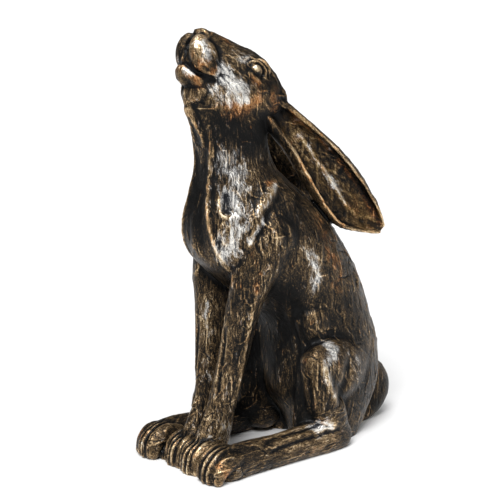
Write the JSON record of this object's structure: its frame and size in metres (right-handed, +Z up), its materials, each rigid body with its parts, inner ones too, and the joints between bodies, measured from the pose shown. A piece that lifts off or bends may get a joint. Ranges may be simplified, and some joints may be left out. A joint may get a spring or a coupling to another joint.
{
  "type": "hare sculpture",
  "caption": "Seated hare figure with a raised head, long ears laid back over the shoulders, upright forelegs and long hind feet. One casting that stands on its feet and rump.",
  "frame": {"origin": "centre of the bounding box at floor level", "axes": "+Z up from the floor to the nose, -Y the way the hare faces, +X its left side"},
  "size_m": [0.1494, 0.3104, 0.46],
  "materials": {
    "bronzed_resin": "cast resin, dark bronze paint dry-brushed with gold and silver"
  },
  "bodies": {
    "root": {"hare": "bronzed_resin"}
  },
  "joints": []
}
